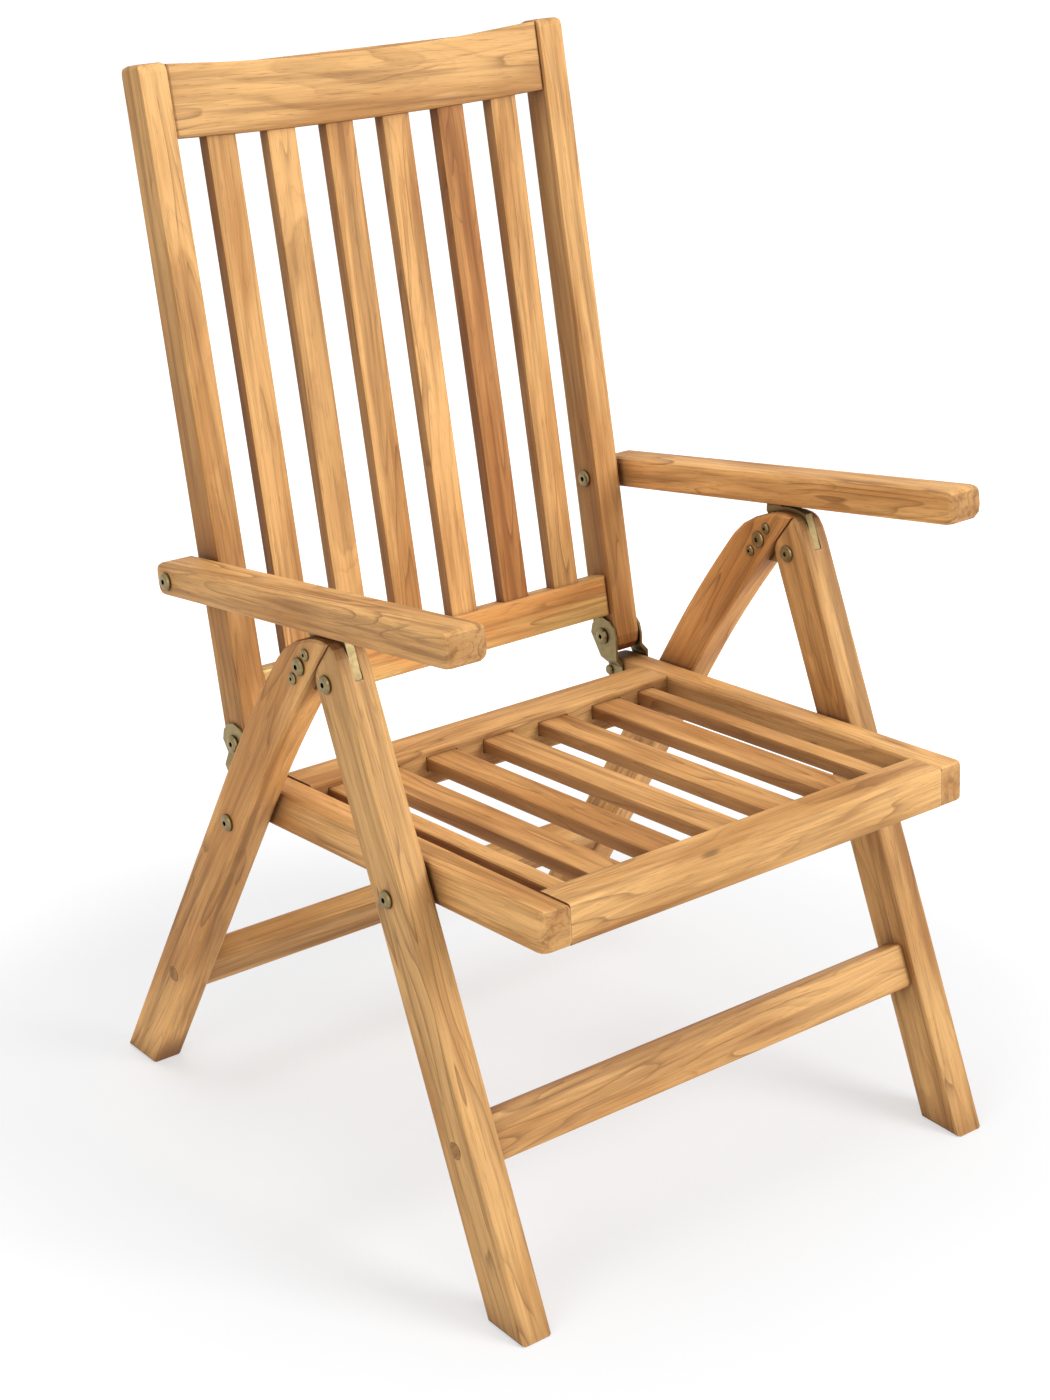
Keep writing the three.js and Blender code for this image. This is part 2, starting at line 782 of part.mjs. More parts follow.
// Slat middles and widths across the seat: evenly spaced, with a narrow slat beside each side rail
function seatSlats() {
  const reach = (seatSlatCount - 1) / 2;
  const outermost = railInner - seatSideSlatGap - seatEdgeSlatWidth / 2;
  const nextReach = outermost - seatEdgeSlatGap - (seatEdgeSlatWidth + seatSlatWidth) / 2;
  const pitch = nextReach / (reach - 1);
  return Array.from({ length: seatSlatCount }, (_, i) => {
    const place = i - reach;
    if (Math.abs(place) < reach) return { middle: place * pitch, width: seatSlatWidth };
    return { middle: Math.sign(place) * outermost, width: seatEdgeSlatWidth };
  });
}

function seatSlat(index, { middle, width }) {
  const low = { y: frontRailRear - slatTenon, z: seatSlatFoot };
  const high = { y: rearRailStart + slatTenon, z: seatSlatTop };
  const slat = acrossPiece(rectangle(low, high, 0), width, slatEdge, middle);
  return piece(`seat_slat_${index + 1}`, slat, teak(teakTones.slat));
}

function seatSlatMortises(from, to) {
  return seatSlats().map(({ middle, width }) =>
    block(
      { x: middle - width / 2 - gap, y: from, z: seatSlatFoot - gap },
      { x: middle + width / 2 + gap, y: to, z: seatSlatTop + gap }
    )
  );
}

// A cross rail of the seat: rounded edges, tenons into the side rails, mortises for the slats
function seatCrossRail(name, from, to, mortises) {
  const low = { y: from, z: seatFoot };
  const high = { y: to, z: seatTop };
  const body = acrossPiece(rectangle(low, high, railEdge), 2 * (railInner - gap), 0, 0);
  const reach = railInner + tenonLength;
  const tenon = block(
    { x: -reach, y: from + tenonShoulder, z: seatFoot + tenonShoulder },
    { x: reach, y: to - tenonShoulder, z: seatTop - tenonShoulder }
  );
  const whole = geometryFrom(solidFrom(body).add(solidFrom(tenon)));
  return piece(name, cut(whole, mortises), teak(teakTones.rail));
}

function railMortise(side, from, to) {
  const depth = railInner + tenonLength + gap;
  const near = Math.min(side * (railInner - overrun), side * depth);
  const far = Math.max(side * (railInner - overrun), side * depth);
  return block(
    { x: near, y: from + tenonShoulder - gap, z: seatFoot + tenonShoulder - gap },
    { x: far, y: to - tenonShoulder + gap, z: seatTop - tenonShoulder + gap }
  );
}

// The notch that drops over the rest pin, open towards the front and down
function restNotch(side) {
  const radius = restPinRadius + hingeClearance;
  const depth = railHeight;
  const shape = new THREE.Shape();
  shape.moveTo(radius, 0);
  shape.absarc(0, 0, radius, 0, Math.PI, false);
  shape.lineTo(-radius, -depth);
  shape.lineTo(radius, -depth);
  shape.closePath();
  const notch = acrossPiece(shape, railThickness + 2 * overrun, 0, side * (seatOuter - railThickness / 2));
  notch.rotateX(-radians(notchLean));
  notch.translate(0, restPinOnSeat.y, restPinOnSeat.z);
  return notch;
}

function seatSideRail(name, side) {
  const inner = side * railInner;
  const outer = side * seatOuter;
  const corners = [
    { y: inner, z: seatFront },
    { y: outer, z: seatFront, fillet: seatCorner },
    { y: outer, z: seatRear, fillet: seatCorner },
    { y: inner, z: seatRear, fillet: seatCorner }
  ];
  const ordered = side > 0 ? corners : corners.reverse();
  const rail = uprightPiece(filletedShape(ordered), railHeight, railEdge, seatFoot);
  const tools = [
    boltHole({ y: 0, z: 0 }),
    boltHole(strapHoles[1]),
    restNotch(side),
    railMortise(side, seatFront, frontRailRear),
    railMortise(side, rearRailStart, rearRailEnd)
  ];
  return piece(`seat_side_rail_${name}`, cut(rail, tools), teak(teakTones.rail));
}

// Back hinge strap: flat on the rail below, stepped in to the stile above
function backStrap(name, side, lowerFace, bendAboveSeat) {
  const upperFace = lowerFace - stileInset;
  const foot = seatTop - strapFoot;
  const bendFoot = seatTop + bendAboveSeat;
  const bendTop = bendFoot + strapBendHeight;
  const top = backPivotOnSeat.z + strapWidth / 2;
  const section = new THREE.Shape();
  section.moveTo(lowerFace, foot);
  section.lineTo(lowerFace + strapThickness, foot);
  section.lineTo(lowerFace + strapThickness, bendFoot + strapThickness);
  section.lineTo(upperFace + strapThickness, bendTop + strapThickness);
  section.lineTo(upperFace + strapThickness, top);
  section.lineTo(upperFace, top);
  section.lineTo(upperFace, bendTop);
  section.lineTo(lowerFace, bendFoot);
  section.closePath();
  const strip = new THREE.ExtrudeGeometry(section, { depth: strapWidth, bevelEnabled: false });
  strip.rotateX(Math.PI / 2);
  strip.translate(0, strapWidth / 2, 0);
  if (side < 0) strip.rotateZ(Math.PI);
  strip.translate(0, backPivotOnSeat.y, 0);
  const half = strapWidth / 2;
  const outline = new THREE.Shape();
  outline.moveTo(backPivotOnSeat.y + half, foot - overrun);
  outline.absarc(backPivotOnSeat.y, backPivotOnSeat.z, half, 0, Math.PI, false);
  outline.lineTo(backPivotOnSeat.y - half, foot - overrun);
  outline.closePath();
  const keep = acrossPiece(outline, chairWidth, 0, 0);
  const solid = solidFrom(strip).intersect(solidFrom(keep));
  const strap = cut(geometryFrom(solid), strapHoles.map((place) => boltHole(place)));
  return piece(name, strap, brass());
}

// Back, from the back pivot along the back's own lean

function stileShape() {
  const foot = stileFootDepth / 2;
  const top = stileTopDepth / 2;
  const shape = new THREE.Shape();
  shape.moveTo(-foot, 0);
  shape.absarc(0, 0, foot, Math.PI, 2 * Math.PI, false);
  shape.lineTo(top, stileLength - stileTopFillet);
  shape.quadraticCurveTo(top, stileLength, top - stileTopFillet, stileLength);
  shape.lineTo(stileTopFillet - top, stileLength);
  shape.quadraticCurveTo(-top, stileLength, -top, stileLength - stileTopFillet);
  shape.closePath();
  return shape;
}

const backRailFront = -backRailForward - backRailDepth / 2;
const backRailRear = -backRailForward + backRailDepth / 2;
const armPivotOnBack = { y: 0, z: armPivotUp };
const topRailFoot = stileLength - topRailDown;

function backMortise(side, from, to) {
  const depth = stileInner + tenonLength + gap;
  const near = Math.min(side * (stileInner - overrun), side * depth);
  const far = Math.max(side * (stileInner - overrun), side * depth);
  return block(
    { x: near, y: backRailFront + tenonShoulder - gap, z: from + tenonShoulder - gap },
    { x: far, y: backRailRear - tenonShoulder + gap, z: to - tenonShoulder + gap }
  );
}

function stile(name, side) {
  const middle = side * (stileInner + stileThickness / 2);
  const body = acrossPiece(stileShape(), stileThickness, stileEdge, middle);
  const tools = [
    boltHole({ y: 0, z: 0 }),
    boltHole(armPivotOnBack),
    backMortise(side, bottomRailFoot, bottomRailFoot + bottomRailHeight),
    backMortise(side, topRailFoot, topRailFoot + topRailHeight)
  ];
  return piece(`back_stile_${name}`, cut(body, tools), teak(teakTones.back));
}

// Slat middles across the back, with equal gaps between slats and stiles
function backSlatMiddles() {
  const space = (2 * stileInner - backSlatCount * backSlatWidth) / (backSlatCount + 1);
  const pitch = backSlatWidth + space;
  return Array.from({ length: backSlatCount }, (_, i) => (i - (backSlatCount - 1) / 2) * pitch);
}

function backSlatMortises(from, to) {
  return backSlatMiddles().map((middle) =>
    block(
      { x: middle - backSlatWidth / 2 - gap, y: -backRailForward - backSlatThickness / 2 - gap, z: from },
      { x: middle + backSlatWidth / 2 + gap, y: -backRailForward + backSlatThickness / 2 + gap, z: to }
    )
  );
}

// A cross rail of the back, drawn in the front view, with its long edges dished by one curve each
function backRail(name, foot, height, dip, rise, mortises) {
  const half = stileInner - gap;
  const shape = new THREE.Shape();
  shape.moveTo(-half, foot);
  shape.quadraticCurveTo(0, foot - 2 * rise, half, foot);
  shape.lineTo(half, foot + height);
  shape.quadraticCurveTo(0, foot + height - 2 * dip, -half, foot + height);
  shape.closePath();
  const body = new THREE.ExtrudeGeometry(shape, {
    depth: backRailDepth - 2 * slatEdge,
    bevelEnabled: true,
    bevelThickness: slatEdge,
    bevelSize: slatEdge,
    bevelOffset: -slatEdge,
    bevelSegments: bevelSteps,
    curveSegments: 2 * filletSteps
  });
  body.rotateX(Math.PI / 2);
  body.translate(0, backRailRear - slatEdge, 0);
  const reach = stileInner + tenonLength;
  const tenon = block(
    { x: -reach, y: backRailFront + tenonShoulder, z: foot + tenonShoulder },
    { x: reach, y: backRailRear - tenonShoulder, z: foot + height - tenonShoulder }
  );
  const whole = geometryFrom(solidFrom(body).add(solidFrom(tenon)));
  return piece(name, cut(whole, mortises), teak(teakTones.back));
}

function backSlat(index, middle) {
  const half = backSlatThickness / 2;
  const low = { y: -backRailForward - half, z: bottomRailFoot + bottomRailHeight - slatTenon };
  const high = { y: -backRailForward + half, z: topRailFoot + slatTenon - topRailFootDip };
  const slat = acrossPiece(rectangle(low, high, 0), backSlatWidth, slatEdge, middle);
  const tone = index + 1 === darkSlat ? teakTones.darkSlat : teakTones.back;
  return piece(`back_slat_${index + 1}`, slat, teak(tone));
}

// Arms, from the arm pivot along the arm: y negative runs forward

function armShape() {
  const rear = armRearDepth / 2;
  const under = -rear;
  const frontTop = under + armFrontDepth;
  return filletedShape([
    { y: -armFrontReach, z: under, fillet: armNose },
    { y: armRearReach, z: under, fillet: armTail },
    { y: armRearReach, z: rear, fillet: armTail },
    { y: -armFrontReach, z: frontTop, fillet: armBrow }
  ]);
}

// The arms splay outwards to the front, while their racks stay in line with the hinge plates
function arm(name, side) {
  const body = acrossPiece(armShape(), armWidth, armEdge, 0);
  body.rotateZ(side * radians(armSplay));
  body.translate(side * armMiddle, 0, 0);
  const under = -armRearDepth / 2;
  const rackSide = side * legMiddle;
  const groove = block(
    {
      x: rackSide - rackWidth / 2 - gap,
      y: -rackStart - rackLength - gap,
      z: under - overrun
    },
    {
      x: rackSide + rackWidth / 2 + gap,
      y: -rackStart + gap,
      z: under + rackHeight + gap
    }
  );
  return piece(`arm_${name}`, cut(body, [groove, boltHole({ y: 0, z: 0 })]), teak(teakTones.arm));
}

// Rack: a strip let into the arm's underside, with one notch for each reclining place
function rack(name, side) {
  const under = -armRearDepth / 2;
  const top = under + rackHeight;
  const shape = new THREE.Shape();
  shape.moveTo(-rackStart - rackLength, under);
  for (let i = rackNotchCount - 1; i >= 0; i -= 1) {
    const middle = -rackFirstNotch - i * rackNotchPitch;
    const front = middle - rackNotchLength / 2;
    const rear = middle + rackNotchLength / 2;
    const roof = under + rackNotchDepth;
    const wall = under + rackNotchDepth / 2;
    shape.lineTo(front, under);
    shape.lineTo(front, wall);
    shape.quadraticCurveTo(front, roof, middle, roof);
    shape.quadraticCurveTo(rear, roof, rear, wall);
    shape.lineTo(rear, under);
  }
  shape.lineTo(-rackStart, under);
  shape.lineTo(-rackStart, top);
  shape.lineTo(-rackStart - rackLength, top);
  shape.closePath();
  const strip = acrossPiece(shape, rackWidth, 0, side * legMiddle);
  return piece(`arm_rack_${name}`, strip, brass());
}

// Assembly

function frontLegsFrame() {
  const meshes = [];
  for (const [name, side] of Object.entries(sides)) {
    meshes.push(frontLeg(name, side));
    const hingeBolt = fastener(side, legInner, legOuter, { y: 0, z: 0 }, legHeads);
    meshes.push(piece(`hinge_bolt_${name}`, hingeBolt, brass()));
    const washer = { radius: washerRadius, from: seatOuter + gap, to: legInner - gap };
    const seatBolt = fastener(side, railInner, legOuter, seatPivotOnLeg, { ...domedHeads, collar: washer });
    meshes.push(piece(`seat_bolt_${name}`, seatBolt, brass()));
    meshes.push(plug(`front_plug_${name}`, side, frontStretcherPlace, teakTones.frontLeg));
  }
  meshes.push(stretcher('front_stretcher', frontStretcherPlace, 0, teakTones.frontLeg));
  return frameAt(hinge, -frontLegLean, meshes);
}

function rearLegsFrame() {
  const meshes = [];
  for (const [name, side] of Object.entries(sides)) {
    meshes.push(rearLeg(name, side));
    meshes.push(hingePlate(name, side));
    meshes.push(rivet(`upper_rivet_${name}`, side, upperRivet, smallHeadRadius, smallHeadHeight));
    const bolt = fastener(side, legInner, legOuter, plateBolt, legHeads);
    meshes.push(piece(`plate_bolt_${name}`, bolt, brass()));
    meshes.push(rivet(`lower_rivet_${name}`, side, lowerRivet, smallHeadRadius, smallHeadHeight));
    meshes.push(restPinPiece(name, side));
    meshes.push(plug(`rear_plug_${name}`, side, rearStretcherPlace, teakTones.rearLeg));
  }
  const bar = stretcher('rear_stretcher', { y: 0, z: 0 }, 0, teakTones.rearLeg);
  bar.rotation.x = -radians(rearLegTurn);
  bar.position.set(0, rearStretcherPlace.y, rearStretcherPlace.z);
  meshes.push(bar);
  return frameAt(hinge, rearLegLean, meshes);
}

function seatFrame() {
  const meshes = [];
  for (const [name, side] of Object.entries(sides)) {
    meshes.push(seatSideRail(name, side));
    meshes.push(backStrap(`outer_strap_${name}`, side, seatOuter + gap, outerBendFoot));
    meshes.push(backStrap(`inner_strap_${name}`, side, railInner - gap - strapThickness, innerBendFoot));
    const inner = railInner - gap - strapThickness;
    const outer = seatOuter + gap + strapThickness;
    const bolt = fastener(side, inner, outer, strapHoles[1], {
      innerRadius: smallHeadRadius,
      innerHeight: smallHeadHeight,
      outerRadius: smallHeadRadius,
      outerHeight: strapHeadHeight - gap
    });
    meshes.push(piece(`strap_bolt_${name}`, bolt, brass()));
  }
  const frontTo = frontRailRear;
  const frontMortises = seatSlatMortises(frontTo - slatTenon - gap, frontTo + overrun);
  meshes.push(seatCrossRail('seat_front_rail', seatFront, frontTo, frontMortises));
  const rearMortises = seatSlatMortises(rearRailStart - overrun, rearRailStart + slatTenon + gap);
  meshes.push(seatCrossRail('seat_rear_rail', rearRailStart, rearRailEnd, rearMortises));
  seatSlats().forEach((row, i) => meshes.push(seatSlat(i, row)));
  return frameAt(seatPivot, -seatFall, meshes);
}

function backFrame() {
  const meshes = [];
  for (const [name, side] of Object.entries(sides)) {
    meshes.push(stile(name, side));
    const inner = stileInner - gap - strapThickness;
    const outer = stileOuter + gap + strapThickness;
    const backBolt = fastener(side, inner, outer, { y: 0, z: 0 }, domedHeads);
    meshes.push(piece(`back_bolt_${name}`, backBolt, brass()));
    const washerTo = armInner - gap - washerRadius * splaySlope;
    const washer = { radius: washerRadius, from: stileOuter + gap, to: washerTo };
    const armHead = armOuter + headRadius * splaySlope;
    const armBolt = fastener(side, stileInner, armHead, armPivotOnBack, { ...domedHeads, collar: washer });
    meshes.push(piece(`arm_bolt_${name}`, armBolt, brass()));
  }
  const slatFoot = bottomRailFoot + bottomRailHeight;
  const lower = backSlatMortises(slatFoot - slatTenon - gap, slatFoot + overrun);
  meshes.push(backRail('back_bottom_rail', bottomRailFoot, bottomRailHeight, 0, 0, lower));
  const slatTop = topRailFoot - topRailFootDip + slatTenon;
  const upper = backSlatMortises(topRailFoot - 2 * topRailFootDip - overrun, slatTop + gap);
  meshes.push(backRail('back_top_rail', topRailFoot, topRailHeight, topRailTopDip, topRailFootDip, upper));
  backSlatMiddles().forEach((middle, i) => meshes.push(backSlat(i, middle)));
  return frameAt(backPivot, -backLean, meshes);
}

function armsFrame() {
  const meshes = [];
  for (const [name, side] of Object.entries(sides)) {
    meshes.push(arm(name, side));
    meshes.push(rack(name, side));
  }
  return frameAt(armPivot, -armRise, meshes);
}

function chair() {
  const frames = [frontLegsFrame(), rearLegsFrame(), seatFrame(), backFrame(), armsFrame()];
  const whole = new THREE.Group();
  for (const frame of frames) whole.add(frame);
  whole.updateMatrixWorld(true);
  const box = new THREE.Box3().setFromObject(whole, true);
  whole.position.y = -(box.min.y + box.max.y) / 2;
  return whole;
}

export default chair();
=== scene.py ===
import math
import random

import bpy
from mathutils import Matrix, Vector


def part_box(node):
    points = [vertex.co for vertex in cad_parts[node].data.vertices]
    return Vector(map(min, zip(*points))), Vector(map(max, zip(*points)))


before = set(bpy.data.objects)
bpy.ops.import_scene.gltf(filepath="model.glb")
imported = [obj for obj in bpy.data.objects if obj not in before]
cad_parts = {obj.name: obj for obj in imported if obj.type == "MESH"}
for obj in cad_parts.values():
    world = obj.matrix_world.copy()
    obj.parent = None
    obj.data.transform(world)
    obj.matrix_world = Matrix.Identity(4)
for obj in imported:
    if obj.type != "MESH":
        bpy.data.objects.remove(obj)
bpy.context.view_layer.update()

# Leans of the chair's frames about X in the open pose, in degrees
FRONT_LEG = -24.5
REAR_LEG = 32.0
SEAT = -4.29
BACK = -12.13
ARM = -9.1

# Teak and brass colours, linear
TEAK_LIGHT = (0.86, 0.487, 0.181)
TEAK_MID = (0.55, 0.262, 0.078)
TEAK_DARK = (0.165, 0.058, 0.014)
TEAK_PORE = (0.10, 0.040, 0.013)
# Lighter colour of the teak's edges, part wear and part painted highlight
TEAK_RUB_AND_HIGHLIGHT = (0.92, 0.60, 0.29)
BRASS_CLEAN = (0.36, 0.275, 0.13)
BRASS_AGED = (0.115, 0.085, 0.040)
BRASS_WORN = (0.50, 0.40, 0.21)
# Dark colour laid on brass where other surfaces stand close
BRASS_CLOSE_DARK = (0.03, 0.022, 0.012)

# Change of red, green and blue in the warmest teak
WARMING = (0.3, -0.3, -0.7)

# Noises of the grain: scale across and along the board, per metre, with detail and roughness
NOISES = {
    "broad_warp": dict(scale=(11.0, 3.2), detail=1.5),
    "fine_warp": dict(scale=(70.0, 14.0), detail=2.0),
    "ring_patch": dict(scale=(26.0, 5.0), detail=1.0),
    "vein_flow": dict(scale=(24.0, 2.2), detail=2.0, roughness=0.45),
    "vein_patch": dict(scale=(34.0, 6.0), detail=1.0),
    "fibre": dict(scale=(620.0, 9.0), detail=3.0, roughness=0.62),
    "broad_streak": dict(scale=(75.0, 2.4), detail=3.0, roughness=0.55),
    "fine_streak": dict(scale=(230.0, 4.0), detail=2.0),
    "pores": dict(scale=(1150.0, 42.0), detail=1.0),
    "cloud": dict(scale=(17.0, 2.6), detail=3.0, roughness=0.6),
}
KNOT_SCALE = (17.0, 5.0)

# Levels between which a noise turns into marks
LEVELS = {
    "ring_patch": (0.3, 0.7),
    "vein_patch": (0.40, 0.62),
    "broad_streak": (0.48, 0.72),
    "fine_streak": (0.55, 0.72),
    "pores": (0.63, 0.74),
}

# How far the two warps push the growth rings, in metres
BROAD_PUSH = 0.05
FINE_PUSH = 0.0045

# Growth rings: how fast and how far their count wanders, and how dark the faintest ring and patch stay
WANDER_RATE = 0.55
WANDER_REACH = 2.6
FAINTEST_RING = 0.25
FAINTEST_PATCH = 0.45

# Veins, the contours of a stretched noise: how many levels it is cut into
VEIN_LEVELS = 11.0

# Dark lines: the power by which one builds up over its width, and the part of the width where it fades
RING_LINE = (2.2, 0.88)
VEIN_LINE = (5.0, 0.93)

# Strength of each kind of streak
BROAD_STREAK_SHARE = 0.75
FINE_STREAK_SHARE = 0.35
VEIN_SHARE = 1.25

# Knots: core and rim in parts of a cell, how ragged they are, and the share of cells without one
KNOT_CORE = 0.035
KNOT_RIM = 0.085
KNOT_RAGGED = 30.0
KNOTLESS = 0.72

# Ranges from which each board draws its own grain: tilt in degrees, the others in metres
TILT = 1.6
SEED_REACH = 30.0
PITH_AWAY = (0.03, 0.075)
RING_SPACING = (0.0032, 0.0052)

# How strongly each mark colours the teak, from 0 to 1
RING_SHARE = 0.42
STREAK_SHARE = 0.68
PORE_SHARE = 0.34
KNOT_SHARE = 0.6
END_SHARE = 0.42
# Share of the lighter edges, part wear and part painted highlight
RUB_AND_HIGHLIGHT_SHARE = 0.30
# Share of the painted shade that darkens teak in corners, gaps and between parts
PAINTED_SHADE_SHARE = 0.85

# Levels of the cloud noise that are all light wood and all mid wood
CLOUD_LEVELS = (0.38, 0.64)

# Cosines at which a face starts to be end grain, or a side facing along X that takes painted shade, and is
# fully so
END_COSINES = (0.55, 0.95)
SIDE_SHADE_COSINES = (0.7, 0.95)

# Bend of an edge and level of the fibre at which the lighter edge, part wear and part painted highlight,
# starts and is full, and the same for the painted shade in corners
RUB_AND_HIGHLIGHT_BEND = (0.995, 0.86)
RUB_AND_HIGHLIGHT_FIBRE = (0.35, 0.6)
PAINTED_SHADE_OPENNESS = (0.95, 0.36)

# Fibre: two levels of it, and the brightness or roughness of the wood at each
FIBRE_BRIGHTNESS = (0.28, 0.72, 0.87, 1.10)
FIBRE_ROUGHNESS = (0.3, 0.7, 0.50, 0.64)
RING_ROUGHNESS = 0.06
TEAK_SPECULAR = 0.28

# Relief of the teak: how much each mark adds to it, its strength, and its depth in metres
FIBRE_RELIEF = 0.7
PORE_RELIEF = 0.9
RING_RELIEF = 0.35
TEAK_BUMP = 0.45
TEAK_RELIEF = 0.00035

# Reach of the lighter edges, of the painted shade in teak corners and of the darkening near brass hollows,
# in metres, and the rays that look for them
TEAK_EDGE = 0.0035
TEAK_SHADE_REACH = 0.045
BRASS_EDGE = 0.0008
BRASS_CORNER = 0.005
EDGE_SAMPLES = 4

# Brass: scales of its blotches and turning marks, per metre
BLOTCH_SCALE = 210.0
BLOTCH = dict(detail=3.0, roughness=0.6)
TURNING_SCALE = (2600.0, 900.0, 900.0)
TURNING_SHARE = 0.25
BRASS_SEED_REACH = 20.0

# Brass: ranges of the skin and of the darkening where other surfaces stand close, with the share at each
# end, and its wear, dulling and relief
SKIN = (0.42, 0.86, 0.7, 1.0)
CLOSE_SURFACE_DARKENING = (0.9, 0.4, 0.0, 0.8)
BRASS_WORN_BEND = (0.99, 0.8)
BRASS_WORN_SHARE = 0.35
DULLING_LEVELS = (0.3, 0.7)
DULLING = 0.08
BRASS_BUMP = 0.12
BRASS_RELIEF = 0.00005

# Wooden pieces by family: how the grain runs and leans, the board's tone and warmth, how strong its figure
# is, and how much painted shade darkens its sides that face along X
WOOD = {
    "front_leg": dict(run="up", lean=FRONT_LEG, tone=0.89),
    "rear_leg": dict(run="up", lean=REAR_LEG, tone=1.10, warmth=0.04),
    "front_stretcher": dict(run="across", tone=0.95),
    "rear_stretcher": dict(run="across", tone=0.95),
    "front_plug": dict(run="across", tone=0.95),
    "rear_plug": dict(run="across", tone=0.95),
    "seat_slat": dict(run="fore", lean=SEAT, tone=0.95, warmth=0.05, side_shade=0.35),
    "seat_side_rail": dict(run="fore", lean=SEAT, tone=1.12),
    "seat_front_rail": dict(run="across", tone=0.97),
    "seat_rear_rail": dict(run="across", tone=0.97),
    "back_stile": dict(run="up", lean=BACK, tone=1.02, side_shade=0.22),
    # This rail's tone is lowered as painted shade, against the strong key light on the back's top
    "back_top_rail": dict(run="across", tone=0.90),
    # This rail's tone is raised as painted light, against the arm's shadow and the painted corner shade
    "back_bottom_rail": dict(run="across", tone=1.5),
    "arm": dict(run="fore", lean=ARM, tone=1.02, warmth=0.03, figure=1.1, swirl=1.3),
}

# Tone and warmth of each slat of the back: the fifth is a darker, redder board
BACK_SLATS = ((0.95, 0.03), (0.97, 0.03), (1.0, 0.03), (1.05, 0.03), (0.74, 0.3), (1.0, 0.03))
for number, (slat_tone, slat_warmth) in enumerate(BACK_SLATS, start=1):
    WOOD[f"back_slat_{number}"] = dict(run="up", lean=BACK, tone=slat_tone, warmth=slat_warmth, side_shade=0.5)

# Brass pieces by family: how aged each is, and how dull
METAL = {
    "hinge_plate": (0.4, 0.50),
    "arm_rack": (0.9, 0.55),
    "outer_strap": (0.25, 0.46),
    "inner_strap": (0.4, 0.46),
    "hinge_bolt": (0.6, 0.28),
    "seat_bolt": (0.6, 0.28),
    "upper_rivet": (0.6, 0.28),
    "lower_rivet": (0.6, 0.28),
    "plate_bolt": (0.6, 0.28),
    "back_bolt": (0.6, 0.28),
    "arm_bolt": (0.6, 0.28),
    "rest_pin": (0.6, 0.32),
    "strap_bolt": (0.7, 0.32),
}

# Plates cut from sheet, whose edges are eased: by how many metres, and from which angle in degrees
SHEET_METAL = ("hinge_plate", "outer_strap", "inner_strap", "arm_rack")
EASING = 0.0006
EASING_STEPS = 2
EASED_FROM = 30.0

# Angles over which an edge is sharp, in degrees, and how far large faces lead the shading
METAL_SHARP = 28.0
WOOD_SHARP = 50.0
FACE_WEIGHT = 90

# Floor in metres, its grey, and its glow, which rises towards white away from the chair
FLOOR_SPAN = 60.0
FLOOR_DROP = 0.0005
FLOOR_SHOWN = (0.44, 0.45, 0.461)
FLOOR_BOUNCE = (0.7, 0.7, 0.7)
GLOW_START, GLOW_END = 0.5, 1.2
GLOW_NEAR, GLOW_FAR = 0.525, 0.90

# World: its light on the chair, and the white that is seen behind it
WORLD_GREY = (0.8, 0.8, 0.8)
WORLD_LIGHT = 0.53
WHITE = (1.0, 1.0, 1.0)

# Softboxes: place and target in metres, and power in watts
SOFTBOX_SIDE = 2.4
SOFTBOXES = {
    "key": ((2.4, -4.4, 3.0), (0.0, 0.0, 0.5), 195.0),
    "fill": ((-4.0, -1.2, 2.0), (0.0, 0.0, 0.5), 46.0),
    "top": ((-0.2, 0.3, 3.6), (0.0, 0.0, 0.4), 44.0),
}

# Camera, fitted to the photograph: degrees, metres, and millimetres for lens and sensor
AZIMUTH = -38.35
ELEVATION = 22.58
TARGET = (-0.1016, -0.0979, 0.4999)
DISTANCE = 2.4644
LENS = 67.387
SENSOR = 36.0
CLIP = (0.1, 200.0)


